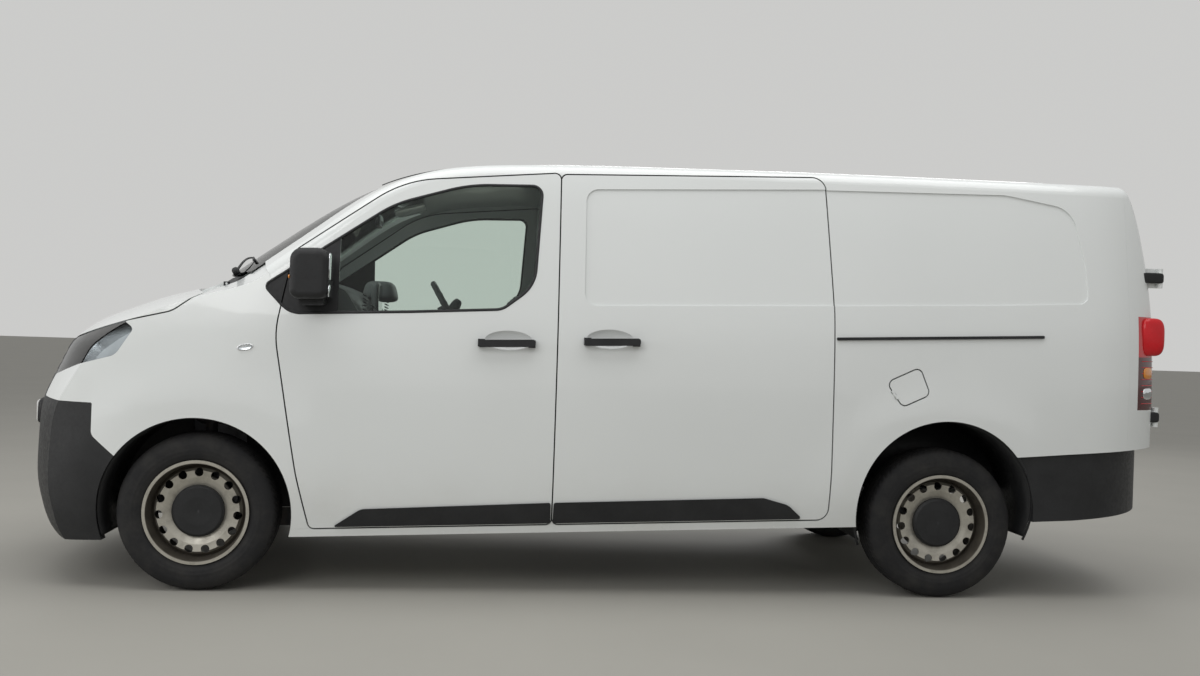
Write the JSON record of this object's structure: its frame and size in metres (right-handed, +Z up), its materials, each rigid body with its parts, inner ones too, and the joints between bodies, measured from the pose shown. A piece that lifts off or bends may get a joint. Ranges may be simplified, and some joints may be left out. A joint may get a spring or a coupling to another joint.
{
  "type": "panel van",
  "caption": "White long-body panel van with front doors, sliding side doors, twin rear doors, opening bonnet, steering and turning wheels.",
  "frame": {"origin": "middle of the bounding box at ground level, under the middle of the van", "axes": "front faces -X, up is +Z, the van's left side is -Y"},
  "size_m": [5.3094, 2.204, 1.9395],
  "materials": {
    "body_paint": "gloss",
    "inner_paint": "satin",
    "glass": "clear, light green",
    "lamp_clear": "clear",
    "lamp_red": "gloss",
    "reflector": "bright",
    "black_plastic": "fine grain",
    "cab_plastic": "fine grain",
    "seat_cloth": "woven",
    "tyre": "matt",
    "wheel_paint": "satin silver",
    "engine_iron": "rough",
    "chassis_paint": "satin",
    "tank_plastic": "matt",
    "exhaust_steel": "dull"
  },
  "bodies": {
    "body": {"side_left": "body_paint", "side_right": "body_paint", "roof": "body_paint", "rear_frame": "body_paint", "tail_lamps": "lamp_red", "sliding_doors": "body_paint", "windscreen": "glass", "wings": "body_paint", "headlamp_lenses": "lamp_clear", "headlamps": "reflector", "bumper_front": "black_plastic", "grilles": "black_plastic", "scuttle": "black_plastic", "side_trim_left": "black_plastic", "side_trim_right": "black_plastic", "bumper_rear": "black_plastic", "bulkhead": "inner_paint", "firewall": "inner_paint", "engine": "engine_iron", "subframe_front": "chassis_paint", "rear_axle": "chassis_paint", "inner_arches": "black_plastic", "floor_pan": "inner_paint", "dashboard": "cab_plastic", "seat_driver": "seat_cloth", "seat_passenger": "seat_cloth", "fuel_tank": "tank_plastic", "exhaust": "exhaust_steel"},
    "rear_door_left": {"rear_door_left": "body_paint"},
    "rear_door_right": {"rear_door_right": "body_paint"},
    "door_left": {"door_left_shell": "body_paint", "door_left_glass": "glass", "door_left_trim": "black_plastic"},
    "door_right": {"door_right_shell": "body_paint", "door_right_glass": "glass", "door_right_trim": "black_plastic"},
    "bonnet": {"bonnet": "body_paint"},
    "fuel_flap": {"fuel_flap": "body_paint"},
    "steering_wheel": {"steering_wheel": "cab_plastic"},
    "knuckle_left": {"knuckle_left": "chassis_paint"},
    "knuckle_right": {"knuckle_right": "chassis_paint"},
    "wheel_front_left": {"tyre_front_left": "tyre", "rim_front_left": "wheel_paint", "cap_front_left": "black_plastic"},
    "wheel_front_right": {"tyre_front_right": "tyre", "rim_front_right": "wheel_paint", "cap_front_right": "black_plastic"},
    "wheel_rear_left": {"tyre_rear_left": "tyre", "rim_rear_left": "wheel_paint", "cap_rear_left": "black_plastic"},
    "wheel_rear_right": {"tyre_rear_right": "tyre", "rim_rear_right": "wheel_paint", "cap_rear_right": "black_plastic"}
  },
  "joints": [
    {"name": "wheel_front_left_spin", "type": "hinge", "parent": "knuckle_left", "child": "wheel_front_left", "pos_m": [-1.7735, -0.8135, 0.336], "axis": [0, 1, 0], "continuous": true},
    {"name": "wheel_front_right_spin", "type": "hinge", "parent": "knuckle_right", "child": "wheel_front_right", "pos_m": [-1.7735, 0.8135, 0.336], "axis": [0, 1, 0], "continuous": true},
    {"name": "wheel_rear_left_spin", "type": "hinge", "parent": "body", "child": "wheel_rear_left", "pos_m": [1.5015, -0.8, 0.336], "axis": [0, 1, 0], "continuous": true},
    {"name": "wheel_rear_right_spin", "type": "hinge", "parent": "body", "child": "wheel_rear_right", "pos_m": [1.5015, 0.8, 0.336], "axis": [0, 1, 0], "continuous": true},
    {"name": "steering", "type": "hinge", "parent": "body", "child": "steering_wheel", "pos_m": [-0.7635, 0.4, 1.235], "axis": [0.866, 0, 0.5], "range_deg": [-480, 480]},
    {"name": "kingpin_left", "type": "hinge", "parent": "body", "child": "knuckle_left", "pos_m": [-1.7735, -0.7235, 0.336], "axis": [0, 0.225, 0.9744], "range_deg": [-32, 32]},
    {"name": "kingpin_right", "type": "hinge", "parent": "body", "child": "knuckle_right", "pos_m": [-1.7735, 0.7235, 0.336], "axis": [0, -0.225, 0.9744], "range_deg": [-32, 32]},
    {"name": "door_left_hinge", "type": "hinge", "parent": "body", "child": "door_left", "pos_m": [-1.495, -0.922, 0.9], "axis": [0, 0, -1], "range_deg": [0, 70]},
    {"name": "door_right_hinge", "type": "hinge", "parent": "body", "child": "door_right", "pos_m": [-1.495, 0.922, 0.9], "axis": [0, 0, 1], "range_deg": [0, 70]},
    {"name": "rear_door_left_hinge", "type": "hinge", "parent": "body", "child": "rear_door_left", "pos_m": [2.562, -0.812, 1.2], "axis": [0, 0, -1], "range_deg": [0, 170]},
    {"name": "rear_door_right_hinge", "type": "hinge", "parent": "body", "child": "rear_door_right", "pos_m": [2.562, 0.812, 1.2], "axis": [0, 0, 1], "range_deg": [0, 170]},
    {"name": "bonnet_hinge", "type": "hinge", "parent": "body", "child": "bonnet", "pos_m": [-1.72, 0, 1.318], "axis": [0, 1, 0], "range_deg": [0, 55]},
    {"name": "fuel_flap_hinge", "type": "hinge", "parent": "body", "child": "fuel_flap", "pos_m": [1.25102, -0.95273, 0.9176], "axis": [0.5695, -0.0601, -0.8198], "range_deg": [0, 80]}
  ],
  "couplings": [
    {"joint": "kingpin_left", "follows": "steering", "ratio": 0.066667},
    {"joint": "kingpin_right", "follows": "steering", "ratio": 0.066667}
  ]
}
